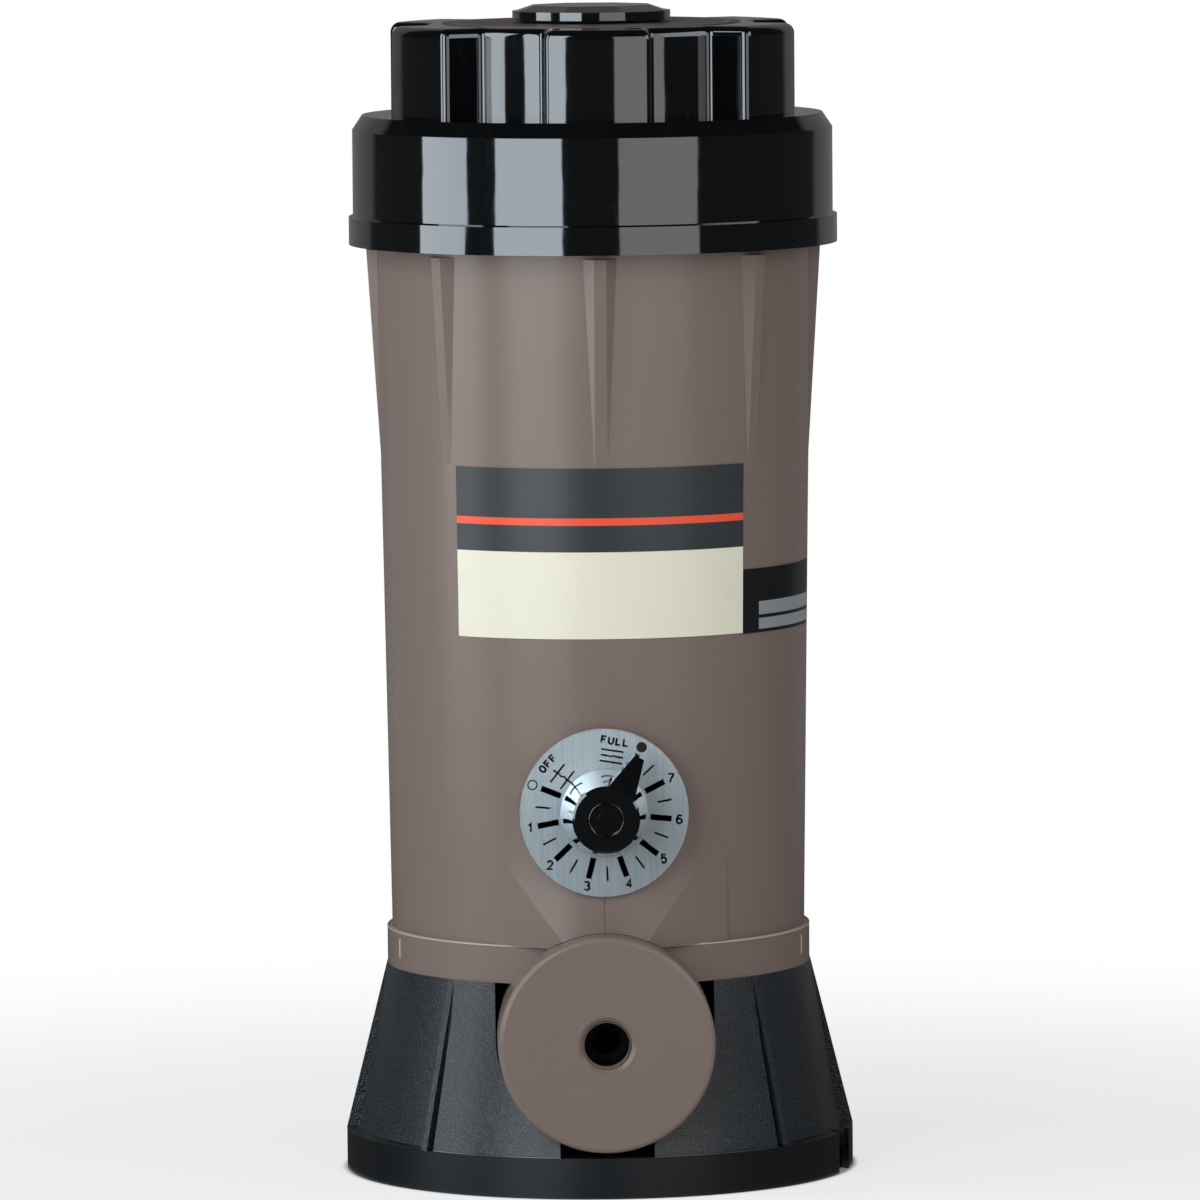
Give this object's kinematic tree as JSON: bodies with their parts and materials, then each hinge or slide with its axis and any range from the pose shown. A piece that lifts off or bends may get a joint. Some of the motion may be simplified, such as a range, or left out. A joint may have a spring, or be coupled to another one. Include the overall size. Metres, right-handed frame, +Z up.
{
  "type": "offline chlorine feeder",
  "caption": "tall ribbed tank for chlorine tablets with a lobed screw cap, a front dial valve, a threaded flow barrel across its foot and a finned base skirt",
  "frame": {"origin": "centre of the base's underside, on the floor", "axes": "+Z up along the tank's axis, the dial and the front port face -Y, +X to the viewer's right"},
  "size_m": [0.1916, 0.2066, 0.4391],
  "materials": {
    "tank_plastic": "glossy moulded, taupe",
    "black_gloss": "glossy moulded, black",
    "base_black": "leather-grained, black",
    "dial_metal": "finely brushed upright",
    "bright_metal": "mirror bright",
    "screw_steel": "plain",
    "screw_black": "blackened",
    "grey_plastic": "satin",
    "white_plastic": "satin",
    "seal_rubber": "smooth",
    "clear_tube": "smooth",
    "label_print": "satin film, dark top, narrow red-orange stripe, cream below",
    "label_dark": "satin film",
    "cap_print": "satin film"
  },
  "bodies": {
    "vessel": {"tank": "tank_plastic", "lower_body": "tank_plastic", "front_end_plate": "tank_plastic", "rear_end_plate": "tank_plastic", "base_skirt": "base_black", "base_screws": "screw_steel", "dial_plate": "dial_metal", "valve_nut": "grey_plastic", "valve_gasket": "seal_rubber", "valve_body": "grey_plastic", "outlet_tube": "clear_tube", "tablet_grate": "grey_plastic", "main_label": "label_print", "side_label": "label_dark"},
    "dial": {"valve_rotor": "white_plastic", "stem_o_rings": "seal_rubber", "dial_knob": "black_gloss", "knob_skirt": "bright_metal", "knob_screw": "screw_black"},
    "cap_seal": {"cap_o_ring": "seal_rubber"},
    "cap": {"cap": "black_gloss", "cap_hub": "black_gloss", "cap_label": "cap_print"}
  },
  "joints": [
    {"name": "dial_turn", "type": "hinge", "parent": "vessel", "child": "dial", "pos_m": [0, -0.052, 0.1427], "axis": [0, 1, 0], "range_deg": [0, 262]},
    {"name": "cap_lift", "type": "slide", "parent": "vessel", "child": "cap_seal", "axis": [0, 0, 1], "range_m": [0, 0.0445]},
    {"name": "cap_turn", "type": "hinge", "parent": "cap_seal", "child": "cap", "pos_m": [0, 0, 0.39], "axis": [0, 0, 1], "range_deg": [0, 2520]}
  ],
  "couplings": [
    {"joint": "cap_lift", "follows": "cap_turn", "m_per_rad": 0.0010106}
  ]
}
